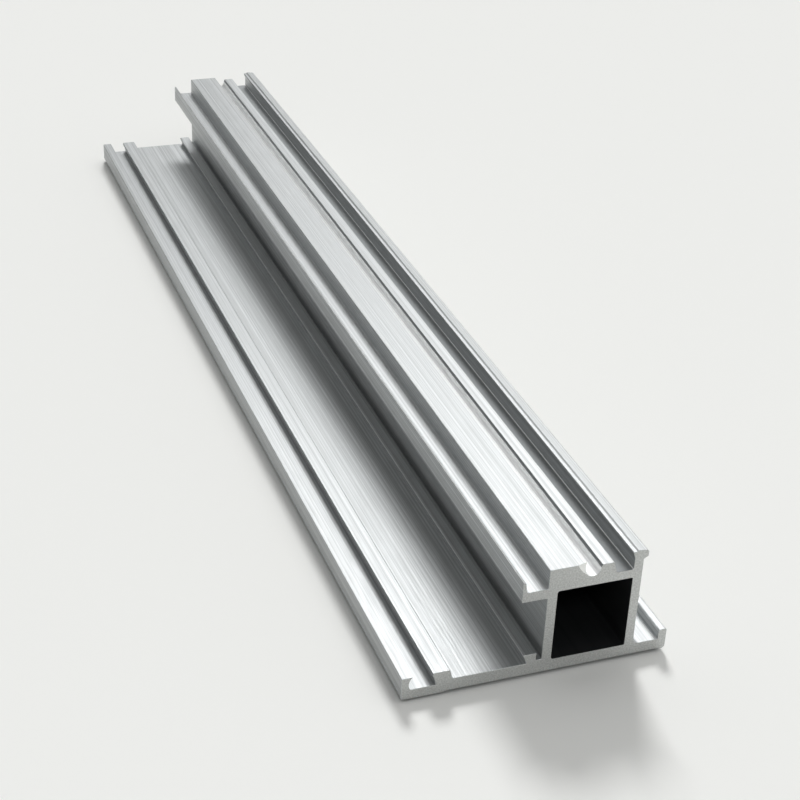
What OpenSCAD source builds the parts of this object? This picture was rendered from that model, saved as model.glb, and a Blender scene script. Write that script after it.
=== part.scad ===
// Aluminium extrusion profile: a flat base with a gasket slot and a hook rib, a square tube with a side arm,
// a screw groove in its roof and a snap head on its outer wall. It lies along Y on its base.

/* [Bar] */
// Sawn length of the bar
length = 300; // [100:10:1000]
// Rounding of the outer edges of the section
edge_r = 0.2; // [0.1:0.05:0.2]
// Rounding in the inner corners of the section
inner_r = 0.3; // [0.2:0.05:0.5]

/* [Base] */
// Width of the tray, from the left edge to the tube
tray_w = 30.95; // [28:0.05:40]
// Width of the flange right of the tube
flange_w = 7.85; // [6.5:0.05:20]
// Thickness of the tray floor
floor_t = 3.1; // [2.9:0.05:3.6]
// Thickness of the flange floor
flange_t = 2.8; // [2.4:0.05:3.4]
// Height of the hooked lip and of both ribs
rim_h = 5.35; // [5:0.05:5.7]
// Depth of the relief under the base
relief = 0.25; // [0.1:0.05:0.4]
// Width of the foot left of the relief
foot_left = 9.7; // [6:0.1:14]
// Width of the foot right of the relief
foot_right = 1.6; // [1.4:0.1:3]
// Rounding of the base's lower left edge
base_left_r = 0.6; // [0.3:0.1:1]
// Rounding of the base's lower right edge
base_right_r = 0.9; // [0.3:0.1:1.2]
// Height of the flange lip
flange_lip_h = 5.15; // [4.5:0.05:6]
// Thickness of the flange lip
flange_lip_t = 1.95; // [1.5:0.05:2.5]
// Rounding of the flange lip's inner top edge
flange_lip_r = 0.6; // [0.2:0.1:0.8]
// Rounding of the flange lip's outer top edge
flange_edge_r = 0.45; // [0.2:0.05:0.6]
// Fillet between the flange floor and the tube
flange_fillet = 1.4; // [0.5:0.1:2]

/* [Gasket slot] */
// Thickness of the base under the slot
slot_floor = 2.3; // [2:0.05:2.6]
// Radius of the hollow side of the hooked lip
slot_r = 2.25; // [2.1:0.05:2.3]
// Height of the centre of the hollow above the slot floor
slot_rise = 1.25; // [1.1:0.05:1.4]
// Thinnest part of the hooked lip
lip_t = 1.6; // [1.3:0.05:2]
// Left edge of the slot rib, from the left edge of the base
rib_x = 6.75; // [6.5:0.05:7.2]
// Width of the top of the slot rib
rib_w = 3.85; // [3:0.05:5]
// Height of the nose on the slot rib
rib_nose_h = 0.85; // [0.5:0.05:1.2]
// Overhang of the nose on the slot rib
rib_nose = 0.25; // [0.1:0.05:0.3]
// Undercut of the slot rib at the slot floor
rib_undercut = 0.75; // [0.5:0.05:1]
// Slope of the right side of the slot rib
rib_draft = 0.35; // [0:0.05:0.5]
// Fillet at the foot of the slot rib
rib_fillet = 0.6; // [0.2:0.1:0.8]
// Rounding of the slot rib's right top edge
rib_edge_r = 0.4; // [0.2:0.05:0.5]

/* [Hook rib] */
// Distance from the hook rib's right side to the tube
hook_gap = 1.25; // [1.1:0.05:2]
// Width of the top of the hook rib
hook_w = 3.05; // [2.5:0.05:4]
// Undercut of the hook rib at the tray floor
hook_undercut = 0.9; // [0.5:0.05:1.2]
// Height of the gap floor above the tray floor
hook_gap_rise = 0.45; // [0.2:0.05:0.6]

/* [Tube] */
// Width of the cavity
cavity_w = 16.9; // [16.5:0.1:24]
// Height of the cavity
cavity_h = 17.25; // [14:0.05:24]
// Thickness of the left wall
wall_left = 2.2; // [1.8:0.05:2.6]
// Thickness of the right wall
wall_right = 2.1; // [1.8:0.05:2.6]
// Thickness of the roof
roof_t = 2.15; // [2:0.05:2.8]
// Rounding of the cavity's left corners
cavity_left_r = 0.5; // [0.2:0.1:1]
// Rounding of the cavity's right corners
cavity_right_r = 0.25; // [0.1:0.05:1]

/* [Arm] */
// Reach of the arm from the tube
arm_w = 5.7; // [4.5:0.05:9]
// Thickness of the arm
arm_t = 2.35; // [2:0.05:2.6]
// Distance from the arm's underside up to the cavity's top
arm_drop = 1.3; // [0.8:0.05:1.8]
// Height of the arm's lip above the arm
arm_lip_h = 2.7; // [1.5:0.05:3]
// Fall of the lip's top towards the tube
arm_lip_fall = 0.45; // [0.2:0.05:0.6]
// Thickness of the lip at its top
arm_lip_t = 0.65; // [0.55:0.05:1]
// Thickness that the lip gains at its foot
arm_lip_taper = 0.3; // [0.1:0.05:0.5]

/* [Screw groove] */
// Height of the block above the roof
block_h = 3.5; // [3.2:0.05:4]
// Width of the top of the block
block_w = 14.45; // [13.5:0.05:15]
// Slope of the block's right side
block_draft = 0.8; // [0.2:0.05:1]
// Step down from the left jaw to the right jaw
jaw_step = 0.8; // [0.5:0.05:1]
// Radius of the groove
groove_r = 1.7; // [1.5:0.05:1.8]
// Centre of the groove, from the tube's left side
groove_x = 9.8; // [9.4:0.05:10]
// Height of the groove's centre above the roof
groove_rise = 1.88; // [1.85:0.01:2]
// Lean of the left jaw over the groove
jaw_lean = 0.2; // [0.1:0.05:0.3]
// Flare of the right jaw away from the groove
jaw_flare = 0.4; // [0.2:0.05:0.5]
// Depth of the lead-in bevel on the left jaw at the near end
lead_in = 0.7; // [0.4:0.05:1]

/* [Snap head] */
// Height of the inner neck above the roof
neck_h = 2.75; // [2.4:0.05:3.2]
// Overhang of the head over the right channel
head_in = 0.55; // [0.3:0.05:0.7]
// Overhang of the head past the tube's right side
head_out = 1; // [0.6:0.05:1.4]
// Height of the outer underside's root above the roof
head_root_h = 2.15; // [1.8:0.05:2.4]
// Rise of the outer underside from the wall to the edge
head_under = 0.65; // [0.4:0.05:0.9]
// Height of the head's shoulders above the roof
shoulder_h = 4.3; // [4.2:0.05:4.8]
// Width of the inner shoulder
shoulder_w = 0.85; // [0.6:0.05:0.9]
// Height of the bead above the shoulders
bead_h = 0.3; // [0.2:0.05:0.4]
// Width of the slope up to the bead
bead_slope = 0.4; // [0.3:0.05:0.5]
// Rounding of the head's outer edge
head_r = 0.7; // [0.4:0.05:0.8]

/* [Hidden] */
$fn = 64;

// Amount that cutting shapes reach past the faces they cut
over = 1;
// Share of its touching distance at which a rounding circle stands from its corner, so that it cuts cleanly
snug = 0.998;
// Axis of the cone that cuts the lead-in bevel, right of and above the groove's centre
lead_in_axis = [2.55, 4.4];
// Depth to which the cone's circle crosses the groove's circle on the end face
lead_in_bite = 0.035;

// Places across the section, from the left edge
tube_l = tray_w;
cavity_l = tube_l + wall_left;
cavity_r = cavity_l + cavity_w;
tube_r = cavity_r + wall_right;
base_w = tube_r + flange_w;
flange_lip_x = base_w - flange_lip_t;
hook_r = tube_l - hook_gap;
hook_l = hook_r - hook_w;
rib_r = rib_x + rib_w;
arm_l = tube_l - arm_w;
arm_lip_r = arm_l + arm_lip_t;
groove_mid = tube_l + groove_x;
block_r = tube_l + block_w;
head_l = cavity_r - head_in;
head_edge = tube_r + head_out;
shoulder_r = head_l + shoulder_w;

// Levels of the section, from the underside
cavity_top = floor_t + cavity_h;
roof = cavity_top + roof_t;
arm_z = cavity_top - arm_drop;
arm_top = arm_z + arm_t;
arm_lip_top = arm_top + arm_lip_h;
gap_floor = floor_t + hook_gap_rise;
block_top = roof + block_h;
jaw_top = block_top - jaw_step;
groove_z = roof + groove_rise;
shoulder = roof + shoulder_h;
head_root = roof + head_root_h;

// Half the width of the groove's mouth at the groove's centre
half_mouth = groove_r - edge_r / 2;

// Outline of the section, anticlockwise from the lower left: across, up, rounding radius
outline = [
    // underside
    [0, 0, base_left_r],
    [foot_left, 0, 0],
    [foot_left, relief, 0],
    [base_w - foot_right, relief, 0],
    [base_w - foot_right, 0, 0],
    [base_w, 0, base_right_r],
    // flange
    [base_w, flange_lip_h, flange_edge_r],
    [flange_lip_x, flange_lip_h, flange_lip_r],
    [flange_lip_x, flange_t, edge_r],
    [tube_r, flange_t, flange_fillet],
    // snap head
    [tube_r, head_root, edge_r],
    [head_edge, head_root + head_under, edge_r],
    [head_edge, shoulder, head_r],
    [shoulder_r + bead_slope, shoulder + bead_h, edge_r],
    [shoulder_r, shoulder, edge_r],
    [head_l, shoulder, edge_r],
    [cavity_r, roof + neck_h, 0],
    // right channel
    [cavity_r, roof, inner_r],
    [block_r + block_draft, roof, inner_r],
    // block
    [block_r, jaw_top, edge_r],
    [groove_mid, jaw_top, 0],
    [groove_mid, block_top, 0],
    [tube_l, block_top, edge_r],
    // arm
    [tube_l, arm_top, inner_r],
    [arm_lip_r + arm_lip_taper, arm_top, inner_r],
    [arm_lip_r, arm_lip_top - arm_lip_fall, edge_r],
    [arm_l, arm_lip_top, edge_r],
    [arm_l, arm_z, edge_r],
    [tube_l, arm_z, inner_r],
    // hook rib
    [tube_l, gap_floor, inner_r],
    [hook_r, gap_floor, inner_r],
    [hook_r, rim_h, edge_r],
    [hook_l, rim_h, edge_r],
    [hook_l + hook_undercut, floor_t, edge_r],
    // slot rib and hooked lip, before the slot is cut
    [rib_r + rib_draft, floor_t, rib_fillet],
    [rib_r, rim_h, rib_edge_r],
    [0, rim_h, edge_r],
];

// Cavity of the tube, anticlockwise: across, up, rounding radius
cavity = [
    [cavity_l, floor_t, cavity_left_r],
    [cavity_r, floor_t, cavity_right_r],
    [cavity_r, cavity_top, cavity_right_r],
    [cavity_l, cavity_top, cavity_left_r],
];

// Place of a corner without its radius
function place(corner) = [corner[0], corner[1]];

// Unit vector from one point to another
function heading(from, to) = (to - from) / norm(to - from);

// Sliver between a corner's point and its rounding arc
module corner_sliver(before, at, after, r) {
    back = heading(at, before);
    ahead = heading(at, after);
    half_angle = acos(back * ahead) / 2;
    centre = snug * r / sin(half_angle);
    reach = centre * cos(half_angle);
    middle = heading([0, 0], back + ahead);
    difference() {
        polygon([at, at + reach * back, at + reach * ahead]);
        translate(at + centre * middle) circle(r);
    }
}

// Slivers of all corners that turn one way: 1 for outward corners, -1 for inward ones
module corner_slivers(corners, turn) {
    count = len(corners);
    for (i = [0 : count - 1]) {
        before = place(corners[(i + count - 1) % count]);
        at = place(corners[i]);
        after = place(corners[(i + 1) % count]);
        r = corners[i][2];
        if (r > 0 && sign(cross(at - before, after - at)) == turn) corner_sliver(before, at, after, r);
    }
}

// Area inside a list of corners, each rounded by its own radius
module rounded_area(corners) {
    difference() {
        union() {
            polygon([for (corner = corners) place(corner)]);
            corner_slivers(corners, -1);
        }
        corner_slivers(corners, 1);
    }
}

// Slot that holds a gasket between the hooked lip and the undercut slot rib
module gasket_slot() {
    hollow_x = lip_t + slot_r;
    nose_z = rim_h - rib_nose_h;
    intersection() {
        translate([hollow_x, slot_floor + slot_rise]) circle(slot_r);
        translate([0, slot_floor]) square([rib_x, rim_h]);
    }
    polygon([
        [hollow_x, slot_floor],
        [rib_x + rib_undercut, slot_floor],
        [rib_x + rib_nose, nose_z - rib_nose],
        [rib_x, nose_z],
        [rib_x, rim_h + over],
        [hollow_x, rim_h + over],
    ]);
}

// Round screw groove with a leaning left jaw and a flared right jaw
module screw_groove() {
    rise = block_top - groove_z;
    flare = jaw_flare / (jaw_top - groove_z);
    lean = jaw_lean / rise;
    top = rise + over;
    translate([groove_mid, groove_z]) {
        circle(groove_r);
        polygon([
            [-half_mouth, 0],
            [half_mouth, 0],
            [half_mouth + flare * top, top],
            [-half_mouth + lean * top, top],
        ]);
    }
}

module section() {
    difference() {
        rounded_area(outline);
        rounded_area(cavity);
        gasket_slot();
        screw_groove();
    }
}

// Conical bevel on the left jaw of the groove where the near end was deburred
module lead_in_bevel() {
    r = norm(lead_in_axis) + groove_r - lead_in_bite;
    jaw_edge = [jaw_lean - half_mouth, block_top - groove_z];
    slope = (r - norm(jaw_edge - lead_in_axis)) / lead_in;
    depth = lead_in + over / 2;
    touch = groove_r * lead_in_axis[0] / norm(lead_in_axis);
    translate([groove_mid - base_w / 2, -length / 2 - over, groove_z])
        intersection() {
            translate([lead_in_axis[0], 0, lead_in_axis[1]])
                rotate([-90, 0, 0])
                    cylinder(h = over + depth, r1 = r + slope * over, r2 = r - slope * depth);
            translate([-2 * r - touch, 0, -r]) cube([2 * r, over + depth, 2 * r]);
        }
}

module profile_bar() {
    color("silver")
        difference() {
            rotate([90, 0, 0])
                linear_extrude(length, center = true) translate([-base_w / 2, 0]) section();
            lead_in_bevel();
        }
}

profile_bar();
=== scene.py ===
"""Dresses the aluminium extrusion profile: rounded edges, die lines, sawn ends, floor, light and camera."""

import math
import random

import bmesh
import bpy
from mathutils import Matrix, Vector
from mathutils.geometry import tessellate_polygon


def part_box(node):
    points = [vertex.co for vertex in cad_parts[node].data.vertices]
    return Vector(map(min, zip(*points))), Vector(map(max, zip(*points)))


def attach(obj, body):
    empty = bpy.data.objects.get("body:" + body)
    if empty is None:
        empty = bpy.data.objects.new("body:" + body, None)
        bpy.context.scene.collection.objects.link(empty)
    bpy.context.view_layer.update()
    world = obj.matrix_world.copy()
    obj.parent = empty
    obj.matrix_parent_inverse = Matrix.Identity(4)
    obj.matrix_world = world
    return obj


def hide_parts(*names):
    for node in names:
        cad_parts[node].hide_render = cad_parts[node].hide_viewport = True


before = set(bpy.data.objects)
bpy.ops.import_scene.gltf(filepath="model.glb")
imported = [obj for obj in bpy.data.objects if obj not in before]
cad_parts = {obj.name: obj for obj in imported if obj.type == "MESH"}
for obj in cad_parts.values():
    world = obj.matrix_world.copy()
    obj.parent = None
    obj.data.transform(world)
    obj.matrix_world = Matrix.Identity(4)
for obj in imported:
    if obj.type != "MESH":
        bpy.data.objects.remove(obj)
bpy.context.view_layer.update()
lowest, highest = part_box("profile_bar")

MM = 0.001
SEED = 7
LENGTH = (highest.y - lowest.y) / MM

# Camera at the photograph's viewing angle, in the part's own frame and in millimetres
CAMERA_PLACE = (-132.68, -405.9, 227.69)
CAMERA_RIGHT = (0.93981, -0.33909, 0.04204)
CAMERA_DOWN = (-0.13411, -0.47924, -0.86737)
CAMERA_AHEAD = (0.31426, 0.80953, -0.49588)
FOCAL_PIXELS = 1733.6
IMAGE_PIXELS = 800
SENSOR_MM = 36

# Key lights in rows behind and in front of the bar: turn to the right in degrees, and strength
KEY_LIGHTS = [(12, 0.48), (20, 0.29), (28, 0.25), (187, 0.36), (200, 0.26)]
KEY_RISE_DEG = 44
KEY_SIZE_DEG = 13
# Lower light from behind that falls on the floor and casts the shadow: turn, rise, size and strength
FLOOR_LIGHT = (16, 35, 15, 2.2)
# Wide light from above that lightens the shadow on the floor: turn, rise, size and strength
FLOOR_FILL = (0, 88, 120, 0.2)
# Sky above and to the right, which darkens away from its axis to a cosine where it ends
SKY_AXIS = (0.52, 0, 1)
SKY_END = -0.2
SKY_COLOURS = ((0.04, 0.042, 0.045), (0.82, 0.82, 0.81))
# Glow low behind the bar on the left, which the left-leaning faces mirror
GLOW_AXIS = (-0.50, 0.72, 0.48)
GLOW_END = 0.72
GLOW_COLOURS = ((0, 0, 0), (0.2, 0.2, 0.195))
SKY_POWER = 2

# Floor: half its width in metres and its paint
FLOOR_HALF = 20
FLOOR_COLOUR = (0.92, 0.925, 0.905, 1)
FLOOR_ROUGHNESS = 0.9
FLOOR_SPECULAR = 0.1
# Depth of the floor below the bar's feet in millimetres, which leaves a thin dark line of contact
FLOOR_GAP = 0.6

# Section of the bar in millimetres: places across from the left edge
BASE_W = 60
SLOT_RIB_L, SLOT_RIB_R = 6.75, 10.6
HOOK_L, HOOK_R = 26.65, 29.7
TUBE_L, TUBE_R = 30.95, 52.15
CAVITY_L, CAVITY_R = 33.15, 50.05
ARM_L, ARM_LIP_R = 25.25, 25.9
BLOCK_R = 45.4
HEAD_L, HEAD_R = 49.5, 53.15
SHOULDER_R = 50.35
FLANGE_LIP_L = 58.05
FOOT_L, FOOT_R = 9.7, 58.4

# Section of the bar in millimetres: levels from the underside
RELIEF = 0.25
SLOT_FLOOR, TRAY, FLANGE = 2.3, 3.1, 2.8
RIM, FLANGE_LIP = 5.35, 5.15
RIB_NOSE_UNDER = 4.5
GAP_FLOOR = 3.55
ARM_UNDER, ARM_TOP, ARM_LIP = 19.05, 21.4, 24.1
CAVITY_TOP, ROOF = 20.35, 22.5
BLOCK_TOP, JAW_TOP = 26.0, 25.2
HEAD_ROOT, NECK, SHOULDER = 24.65, 25.25, 26.8

# Slopes in millimetres: how far a face leans over its length
RIB_NOSE, RIB_UNDERCUT, RIB_DRAFT = 0.25, 0.75, 0.35
HOOK_UNDERCUT = 0.9
ARM_LIP_TAPER, ARM_LIP_FALL = 0.3, 0.45
BLOCK_DRAFT = 0.8
HEAD_UNDER = 0.65
BEAD_SLOPE, BEAD_RISE = 0.4, 0.3

# Roundings in millimetres
SHARP, EDGE, INNER = 0.07, 0.2, 0.3
BASE_LEFT_R, BASE_RIGHT_R = 0.6, 0.9
RIB_EDGE, RIB_FILLET = 0.4, 0.6
FLANGE_EDGE, FLANGE_LIP_EDGE, FLANGE_FILLET = 0.45, 0.6, 1.4
HEAD_EDGE = 0.7
CAVITY_LEFT_R, CAVITY_RIGHT_R = 0.5, 0.25

# Round stretches: centre across, centre up and radius in millimetres, then first and last angle and steps
SLOT_HOLLOW = (3.85, 3.55, 2.25)
SLOT_HOLLOW_SWEEP = (213.7, 126.9, 14)
GROOVE = (40.75, 24.38, 1.7)
GROOVE_SWEEP = (6, -208, 28)
GROOVE_MOUTH_L, GROOVE_MOUTH_R = 39.35, 42.75

# Cone of the lead-in bevel on the left jaw, in millimetres from the groove's centre
BEVEL_AXIS = (2.55, 4.4)
BEVEL_R = 6.75
BEVEL_SLOPE = 2.744
BEVEL_REACH = 1.0
BEVEL_EDGE = -0.852
BEVEL_SEGMENTS = 96

# Fine relief: sizes in millimetres, the rarity of deep lines and the share of the pitch by which lines stray
DIE_LINE_PITCH = 0.2
DIE_LINE_DEPTH = 0.012
DIE_LINE_RARITY = 5
DIE_LINE_STRAY = 0.3
END_BREAK = 0.06
ARC_STEP_DEG = 12
SHARP_FROM_DEG = 35

# Finishes of the bar's faces, in the order of its materials: satin, sawn, cut, then painted shade, near-black
# painted shade and painted highlight
SATIN, SAWN, CUT, PAINTED_SHADE, PAINTED_BORE_SHADE, PAINTED_HIGHLIGHT = range(6)

# Stretches of the section whose colour carries painted shade or painted highlight: finish, left, right,
# bottom and top in millimetres
HAIR, NEAR, MARGIN = 0.02, 0.05, 0.1
MOUTH_START = GROOVE[1] + 0.2
FINISH_ZONES = [
    # mouth of the groove, painted shade on its right wall
    (PAINTED_SHADE, GROOVE[0], GROOVE_MOUTH_R + HAIR, MOUTH_START, JAW_TOP - NEAR),
    # left edge of the hook rib, painted highlight
    (PAINTED_HIGHLIGHT, HOOK_L - NEAR, HOOK_L + EDGE, RIM - EDGE, RIM - HAIR / 2),
    # right corner of the right channel, painted highlight
    (PAINTED_HIGHLIGHT, CAVITY_R - INNER, CAVITY_R - HAIR, ROOF + HAIR, ROOF + INNER),
    # cavity, painted near-black shade
    (PAINTED_BORE_SHADE, CAVITY_L - MARGIN, CAVITY_R + MARGIN, TRAY - MARGIN, CAVITY_TOP + MARGIN),
    # floor of the right channel, painted shade
    (PAINTED_SHADE, BLOCK_R, CAVITY_R, ROOF - MARGIN, ROOF + INNER / 2),
]

# Noise of the finishes: cells in a metre across, along and up, then detail and roughness of the noise
MILL_LINES = ((3000, 3, 3000), 3, 0.6)
MILL_GRAIN = ((5000, 110, 5000), 2, 0.5)
SAWN_GRAIN = ((2800, 2800, 2800), 2, 0.6)
CUT_GRAIN = ((1500, 1500, 1500), 4, 0.5)
PAINTED_SHADE_LINES = ((800, 3, 800), 6, 0.7)

# Stretches of the noise over which a colour or a value changes
NARROW, MIDDLE, WIDE = (0.35, 0.65), (0.3, 0.7), (0.25, 0.75)

# Colours of the finishes, dark and light
MILL_COLOURS = ((0.495, 0.512, 0.515), (0.705, 0.723, 0.728))
SAWN_COLOURS = ((0.50, 0.51, 0.50), (0.70, 0.71, 0.70))
CUT_COLOURS = ((0.82, 0.83, 0.82), (0.90, 0.91, 0.90))
# Painted shade: darker metal for the groove's mouth and the right channel's floor
PAINTED_SHADE_COLOURS = ((0.33, 0.345, 0.35), (0.45, 0.465, 0.47))
# Painted shade: near-black metal inside the cavity
PAINTED_BORE_SHADE_COLOURS = ((0.035, 0.037, 0.04), (0.055, 0.058, 0.06))
# Painted highlight: near-white metal for the hook rib's edge, the channel's corner and the groove
PAINTED_HIGHLIGHT_COLOURS = ((0.86, 0.87, 0.87), (0.98, 0.99, 0.99))
MILL_GRAIN_SHADE = (0.84, 1)

# Roughness of the finishes, low and high
MILL_ROUGHNESS = (0.46, 0.62)
SAWN_ROUGHNESS = (0.5, 0.65)
CUT_ROUGHNESS = (0.3, 0.4)
PAINTED_SHADE_ROUGHNESS = (0.62, 0.75)
MILL_ANISOTROPY = 0.6

# Bump of the finishes: strength, and depth in metres
MILL_BUMP = (0.3, 0.00004)
SAWN_BUMP = (0.5, 0.00003)


def arc(centre, start, end, steps):
    """Points on a circle from one angle to another, in degrees, as sharp corners."""
    x, z, r = centre
    turns = [math.radians(start + (end - start) * i / steps) for i in range(steps + 1)]
    return [(x + r * math.cos(t), z + r * math.sin(t), 0) for t in turns]


# Corners of the section: place across, level and rounding
OUTLINE = [
    # underside
    (0, 0, BASE_LEFT_R), (FOOT_L, 0, SHARP), (FOOT_L, RELIEF, SHARP), (FOOT_R, RELIEF, SHARP),
    (FOOT_R, 0, SHARP), (BASE_W, 0, BASE_RIGHT_R),
    # flange
    (BASE_W, FLANGE_LIP, FLANGE_EDGE), (FLANGE_LIP_L, FLANGE_LIP, FLANGE_LIP_EDGE),
    (FLANGE_LIP_L, FLANGE, EDGE), (TUBE_R, FLANGE, FLANGE_FILLET),
    # snap head
    (TUBE_R, HEAD_ROOT, EDGE), (HEAD_R, HEAD_ROOT + HEAD_UNDER, EDGE), (HEAD_R, SHOULDER, HEAD_EDGE),
    (SHOULDER_R + BEAD_SLOPE, SHOULDER + BEAD_RISE, EDGE), (SHOULDER_R, SHOULDER, EDGE),
    (HEAD_L, SHOULDER, EDGE), (CAVITY_R, NECK, 0),
    # right channel
    (CAVITY_R, ROOF, INNER), (BLOCK_R + BLOCK_DRAFT, ROOF, INNER),
    # block with the screw groove
    (BLOCK_R, JAW_TOP, EDGE), (GROOVE_MOUTH_R, JAW_TOP, SHARP),
    *arc(GROOVE, *GROOVE_SWEEP),
    (GROOVE_MOUTH_L, BLOCK_TOP, SHARP), (TUBE_L, BLOCK_TOP, EDGE),
    # arm
    (TUBE_L, ARM_TOP, INNER), (ARM_LIP_R + ARM_LIP_TAPER, ARM_TOP, INNER),
    (ARM_LIP_R, ARM_LIP - ARM_LIP_FALL, EDGE), (ARM_L, ARM_LIP, EDGE), (ARM_L, ARM_UNDER, EDGE),
    (TUBE_L, ARM_UNDER, INNER),
    # hook rib
    (TUBE_L, GAP_FLOOR, INNER), (HOOK_R, GAP_FLOOR, INNER), (HOOK_R, RIM, EDGE), (HOOK_L, RIM, EDGE),
    (HOOK_L + HOOK_UNDERCUT, TRAY, EDGE),
    # slot rib
    (SLOT_RIB_R + RIB_DRAFT, TRAY, RIB_FILLET), (SLOT_RIB_R, RIM, RIB_EDGE), (SLOT_RIB_L, RIM, SHARP),
    (SLOT_RIB_L, RIB_NOSE_UNDER, SHARP), (SLOT_RIB_L + RIB_NOSE, RIB_NOSE_UNDER - RIB_NOSE, SHARP),
    (SLOT_RIB_L + RIB_UNDERCUT, SLOT_FLOOR, SHARP),
    # hooked lip
    *arc(SLOT_HOLLOW, *SLOT_HOLLOW_SWEEP),
    (0, RIM, EDGE),
]

CAVITY = [
    (CAVITY_L, TRAY, CAVITY_LEFT_R), (CAVITY_R, TRAY, CAVITY_RIGHT_R),
    (CAVITY_R, CAVITY_TOP, CAVITY_RIGHT_R), (CAVITY_L, CAVITY_TOP, CAVITY_LEFT_R),
]


def rounded(corners):
    """The corners as points, each rounded by an arc of its own radius."""
    points = []
    for i, (x, z, r) in enumerate(corners):
        at = Vector((x, z))
        if r == 0:
            points.append(at)
            continue
        back = (Vector(corners[i - 1][:2]) - at).normalized()
        ahead = (Vector(corners[(i + 1) % len(corners)][:2]) - at).normalized()
        half = back.angle(ahead) / 2
        centre = at + (back + ahead).normalized() * r / math.sin(half)
        turn = math.pi - 2 * half
        steps = max(2, math.ceil(math.degrees(turn) / ARC_STEP_DEG))
        reach = r / math.tan(half)
        first = at + back * reach - centre
        last = at + ahead * reach - centre
        side = 1 if first.cross(last) > 0 else -1
        for k in range(steps + 1):
            points.append(centre + Matrix.Rotation(side * turn * k / steps, 2) @ first)
    return points


def with_die_lines(points, draw):
    """The points with shallow lines drawn into the flats between them."""
    lined = []
    for i, start in enumerate(points):
        end = points[(i + 1) % len(points)]
        lined.append(start)
        run = end - start
        count = int(run.length / DIE_LINE_PITCH)
        if count < 2:
            continue
        inward = Vector((-run.y, run.x)).normalized()
        for k in range(1, count):
            depth = DIE_LINE_DEPTH * draw.random() ** DIE_LINE_RARITY
            stray = draw.uniform(-DIE_LINE_STRAY, DIE_LINE_STRAY)
            lined.append(start + run * (k + stray) / count + inward * depth)
    return lined


def inset(points, amount):
    """The points moved into the material by a small amount."""
    moved = []
    for i, at in enumerate(points):
        along = points[(i + 1) % len(points)] - points[i - 1]
        moved.append(at + Vector((-along.y, along.x)).normalized() * amount)
    return moved


def finish_at(place):
    """The finish of a place on the section: satin, but painted highlight in the groove and painted shade or
    painted highlight in the zones.
    """
    for finish, left, right, bottom, top in FINISH_ZONES:
        if left < place.x < right and bottom < place.y < top:
            return finish
    # Painted highlight: the whole groove is coloured near white
    in_groove = (place - Vector(GROOVE[:2])).length < GROOVE[2] + NEAR
    return PAINTED_HIGHLIGHT if in_groove else SATIN


def sweep(mesh, loops):
    """Fills a bmesh with the swept loops: side faces first, then both end faces."""
    end = LENGTH / 2
    stations = [(-end, END_BREAK), (-end + END_BREAK, 0), (end - END_BREAK, 0), (end, END_BREAK)]
    ends = {0: [], len(stations) - 1: []}
    for points in loops:
        rings = []
        for s, (y, cut) in enumerate(stations):
            ring_points = inset(points, cut) if cut else points
            ring = [mesh.verts.new(((p.x - BASE_W / 2) * MM, y * MM, p.y * MM)) for p in ring_points]
            rings.append(ring)
            if s in ends:
                ends[s].append((ring, ring_points))
        for a, b in zip(rings, rings[1:]):
            for i in range(len(a)):
                j = (i + 1) % len(a)
                face = mesh.faces.new((a[i], a[j], b[j], b[i]))
                face.material_index = finish_at((points[i] + points[j]) / 2)
    for rings in ends.values():
        verts = [v for ring, _ in rings for v in ring]
        flat = [[p.to_3d() for p in ring_points] for _, ring_points in rings]
        for tri in tessellate_polygon(flat):
            face = mesh.faces.new([verts[k] for k in tri])
            face.material_index = SAWN
    bmesh.ops.recalc_face_normals(mesh, faces=mesh.faces)


def in_scene(name, data):
    """A new object of the scene that holds the data."""
    made = bpy.data.objects.new(name, data)
    bpy.context.scene.collection.objects.link(made)
    return made


def as_object(name, mesh):
    """A new object of the scene from a bmesh, which is freed."""
    data = bpy.data.meshes.new(name)
    mesh.to_mesh(data)
    mesh.free()
    return in_scene(name, data)


def bevel_cutter():
    """The cone that cuts the lead-in bevel, kept left of the groove's touching point."""
    mesh = bmesh.new()
    near = BEVEL_R + BEVEL_SLOPE * BEVEL_REACH
    far = BEVEL_R - BEVEL_SLOPE * BEVEL_REACH
    bmesh.ops.create_cone(mesh, cap_ends=True, segments=BEVEL_SEGMENTS, radius1=near * MM, radius2=far * MM,
                          depth=2 * BEVEL_REACH * MM)
    bmesh.ops.rotate(mesh, verts=mesh.verts, matrix=Matrix.Rotation(-math.pi / 2, 3, "X"))
    groove_x = GROOVE[0] - BASE_W / 2
    place = Vector((groove_x + BEVEL_AXIS[0], -LENGTH / 2, GROOVE[1] + BEVEL_AXIS[1]))
    bmesh.ops.translate(mesh, verts=mesh.verts, vec=place * MM)
    edge = Vector((groove_x + BEVEL_EDGE, 0, 0)) * MM
    parts = mesh.verts[:] + mesh.edges[:] + mesh.faces[:]
    cut = bmesh.ops.bisect_plane(mesh, geom=parts, plane_co=edge, plane_no=(1, 0, 0), clear_outer=True)
    bmesh.ops.edgeloop_fill(mesh, edges=[g for g in cut["geom_cut"] if isinstance(g, bmesh.types.BMEdge)])
    bmesh.ops.recalc_face_normals(mesh, faces=mesh.faces)
    for face in mesh.faces:
        face.material_index = CUT
    return as_object("lead_in_cutter", mesh)


def node(tree, kind, **values):
    """A new shader node with its plain settings."""
    made = tree.nodes.new(kind)
    for key, value in values.items():
        setattr(made, key, value)
    return made


def new_material(name):
    """A new material, its node tree and its shader."""
    material = bpy.data.materials.new(name)
    material.use_nodes = True
    tree = material.node_tree
    return material, tree, tree.nodes["Principled BSDF"]


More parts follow.
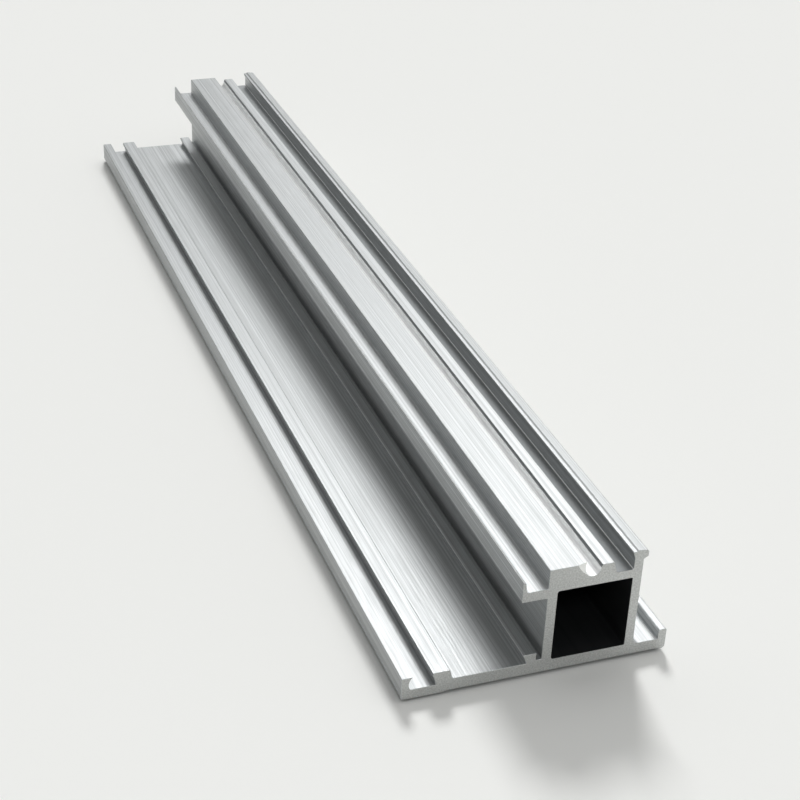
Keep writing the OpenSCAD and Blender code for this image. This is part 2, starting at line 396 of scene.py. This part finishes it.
def streaks(tree, scale, detail, roughness):
    """Noise with its own scale in each direction, so that it can read as lines along the bar."""
    place = node(tree, "ShaderNodeTexCoord")
    stretch = node(tree, "ShaderNodeMapping")
    stretch.inputs["Scale"].default_value = scale
    noise = node(tree, "ShaderNodeTexNoise")
    noise.inputs["Scale"].default_value = 1
    noise.inputs["Detail"].default_value = detail
    noise.inputs["Roughness"].default_value = roughness
    tree.links.new(place.outputs["Object"], stretch.inputs["Vector"])
    tree.links.new(stretch.outputs["Vector"], noise.inputs["Vector"])
    return noise.outputs["Fac"]


def ramp(tree, source, span, values):
    """A ramp over a span of the source, between two values or two colours."""
    made = node(tree, "ShaderNodeValToRGB")
    for stop, place, value in zip(made.color_ramp.elements, span, values):
        stop.position = place
        stop.color = (*value, 1) if isinstance(value, tuple) else (value, value, value, 1)
    tree.links.new(source, made.inputs["Fac"])
    return made.outputs["Color"]


def add_bump(tree, shader, source, strength, depth):
    """Bump on the shader that follows the source."""
    bump = node(tree, "ShaderNodeBump")
    bump.inputs["Strength"].default_value = strength
    bump.inputs["Distance"].default_value = depth
    tree.links.new(source, bump.inputs["Height"])
    tree.links.new(bump.outputs["Normal"], shader.inputs["Normal"])


def mill_metal(name, colours):
    """Extruded aluminium: satin metal with long lines and short dashes along the bar."""
    material, tree, shader = new_material(name)
    shader.inputs["Metallic"].default_value = 1
    shader.inputs["Anisotropic"].default_value = MILL_ANISOTROPY
    tangent = node(tree, "ShaderNodeTangent", direction_type="RADIAL", axis="Y")
    tree.links.new(tangent.outputs["Tangent"], shader.inputs["Tangent"])
    lines = streaks(tree, *MILL_LINES)
    grain = streaks(tree, *MILL_GRAIN)
    shaded = node(tree, "ShaderNodeVectorMath", operation="MULTIPLY")
    tree.links.new(ramp(tree, lines, NARROW, colours), shaded.inputs[0])
    tree.links.new(ramp(tree, grain, MIDDLE, MILL_GRAIN_SHADE), shaded.inputs[1])
    tree.links.new(shaded.outputs["Vector"], shader.inputs["Base Color"])
    tree.links.new(ramp(tree, grain, WIDE, MILL_ROUGHNESS), shader.inputs["Roughness"])
    add_bump(tree, shader, lines, *MILL_BUMP)
    return material


def plain_metal(name, noise, span, colours, roughness, bump=None):
    """Aluminium whose colour, roughness and bump follow one noise."""
    material, tree, shader = new_material(name)
    shader.inputs["Metallic"].default_value = 1
    source = streaks(tree, *noise)
    tree.links.new(ramp(tree, source, span, colours), shader.inputs["Base Color"])
    tree.links.new(ramp(tree, source, MIDDLE, roughness), shader.inputs["Roughness"])
    if bump:
        add_bump(tree, shader, source, *bump)
    return material


def bar_materials():
    """The materials of the bar, in the order of its finishes, the last three with painted shade, near-black
    painted shade and painted highlight.
    """
    return [
        mill_metal("mill_aluminium", MILL_COLOURS),
        plain_metal("sawn_aluminium", SAWN_GRAIN, NARROW, SAWN_COLOURS, SAWN_ROUGHNESS, SAWN_BUMP),
        plain_metal("cut_aluminium", CUT_GRAIN, MIDDLE, CUT_COLOURS, CUT_ROUGHNESS),
        # painted shade for the groove's mouth and the right channel's floor
        plain_metal("painted_shade_aluminium", PAINTED_SHADE_LINES, MIDDLE, PAINTED_SHADE_COLOURS, PAINTED_SHADE_ROUGHNESS),
        # painted near-black shade inside the cavity
        plain_metal("painted_bore_shade", PAINTED_SHADE_LINES, MIDDLE, PAINTED_BORE_SHADE_COLOURS, PAINTED_SHADE_ROUGHNESS),
        # painted highlight for the hook rib's edge, the channel's corner and the groove
        mill_metal("painted_highlight_aluminium", PAINTED_HIGHLIGHT_COLOURS),
    ]


def build_bar():
    """The swept bar with its bevel cut, in place of the CAD node."""
    draw = random.Random(SEED)
    loops = [with_die_lines(rounded(OUTLINE), draw), with_die_lines(rounded(CAVITY[::-1]), draw)]
    mesh = bmesh.new()
    sweep(mesh, loops)
    bar = as_object("bar", mesh)
    data = bar.data
    for material in bar_materials():
        data.materials.append(material)
    cutter = bevel_cutter()
    bpy.context.view_layer.objects.active = bar
    cut = bar.modifiers.new("lead_in", "BOOLEAN")
    cut.object = cutter
    cut.solver = "EXACT"
    bpy.ops.object.modifier_apply(modifier=cut.name)
    bpy.data.objects.remove(cutter)
    data.polygons.foreach_set("use_smooth", [True] * len(data.polygons))
    data.set_sharp_from_angle(angle=math.radians(SHARP_FROM_DEG))
    weighted = bar.modifiers.new("normals", "WEIGHTED_NORMAL")
    weighted.keep_sharp = True
    return bar


def add_floor():
    """A wide pale floor."""
    mesh = bmesh.new()
    bmesh.ops.create_grid(mesh, x_segments=1, y_segments=1, size=FLOOR_HALF)
    floor = as_object("floor", mesh)
    floor.location.z = -FLOOR_GAP * MM
    material, _, shader = new_material("floor_paint")
    shader.inputs["Base Color"].default_value = FLOOR_COLOUR
    shader.inputs["Roughness"].default_value = FLOOR_ROUGHNESS
    shader.inputs["Specular IOR Level"].default_value = FLOOR_SPECULAR
    floor.data.materials.append(material)


def sky_lobe(tree, axis, end, colours):
    """Light that is bright along an axis and falls off to dark at a cosine from it."""
    place = node(tree, "ShaderNodeTexCoord")
    along = node(tree, "ShaderNodeVectorMath", operation="DOT_PRODUCT")
    along.inputs[1].default_value = Vector(axis).normalized()
    spread = node(tree, "ShaderNodeMapRange")
    spread.inputs["From Min"].default_value = end
    fall = node(tree, "ShaderNodeMath", operation="POWER")
    fall.inputs[1].default_value = SKY_POWER
    tree.links.new(place.outputs["Generated"], along.inputs[0])
    tree.links.new(along.outputs["Value"], spread.inputs["Value"])
    tree.links.new(spread.outputs["Result"], fall.inputs[0])
    return ramp(tree, fall.outputs["Value"], (0, 1), colours)


def add_world():
    """Soft light from all round: a sky from above and the right, and a glow low behind on the left."""
    world = bpy.data.worlds.new("studio")
    bpy.context.scene.world = world
    world.use_nodes = True
    tree = world.node_tree
    both = node(tree, "ShaderNodeVectorMath", operation="ADD")
    tree.links.new(sky_lobe(tree, SKY_AXIS, SKY_END, SKY_COLOURS), both.inputs[0])
    tree.links.new(sky_lobe(tree, GLOW_AXIS, GLOW_END, GLOW_COLOURS), both.inputs[1])
    tree.links.new(both.outputs["Vector"], tree.nodes["Background"].inputs["Color"])


def add_sun(name, turn, rise, size, strength):
    """A soft sun from above, turned to the right from straight behind the bar, with its angles in degrees."""
    lamp = bpy.data.lights.new(name, "SUN")
    lamp.angle = math.radians(size)
    lamp.energy = strength
    holder = in_scene(name, lamp)
    holder.rotation_euler = (math.radians(rise - 90), 0, math.radians(-turn))
    return holder


def add_lights():
    """Soft lights that the metal mirrors as one wide window on each side, and two lights for the floor."""
    for turn, strength in KEY_LIGHTS:
        add_sun("key", turn, KEY_RISE_DEG, KEY_SIZE_DEG, strength).visible_diffuse = False
    add_sun("floor_light", *FLOOR_LIGHT).visible_glossy = False
    add_sun("floor_fill", *FLOOR_FILL).visible_glossy = False


def add_camera():
    """The camera at the photograph's viewing angle."""
    lens = bpy.data.cameras.new("camera")
    lens.sensor_width = SENSOR_MM
    lens.lens = FOCAL_PIXELS / IMAGE_PIXELS * SENSOR_MM
    holder = in_scene("camera", lens)
    turn = Matrix((Vector(CAMERA_RIGHT), -Vector(CAMERA_DOWN), -Vector(CAMERA_AHEAD))).transposed()
    holder.matrix_world = Matrix.Translation(Vector(CAMERA_PLACE) * MM) @ turn.to_4x4()
    bpy.context.scene.camera = holder


bar = build_bar()
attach(bar, "root")
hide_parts("profile_bar")

add_floor()
add_world()
add_lights()
add_camera()
bpy.context.scene.view_settings.view_transform = "Standard"
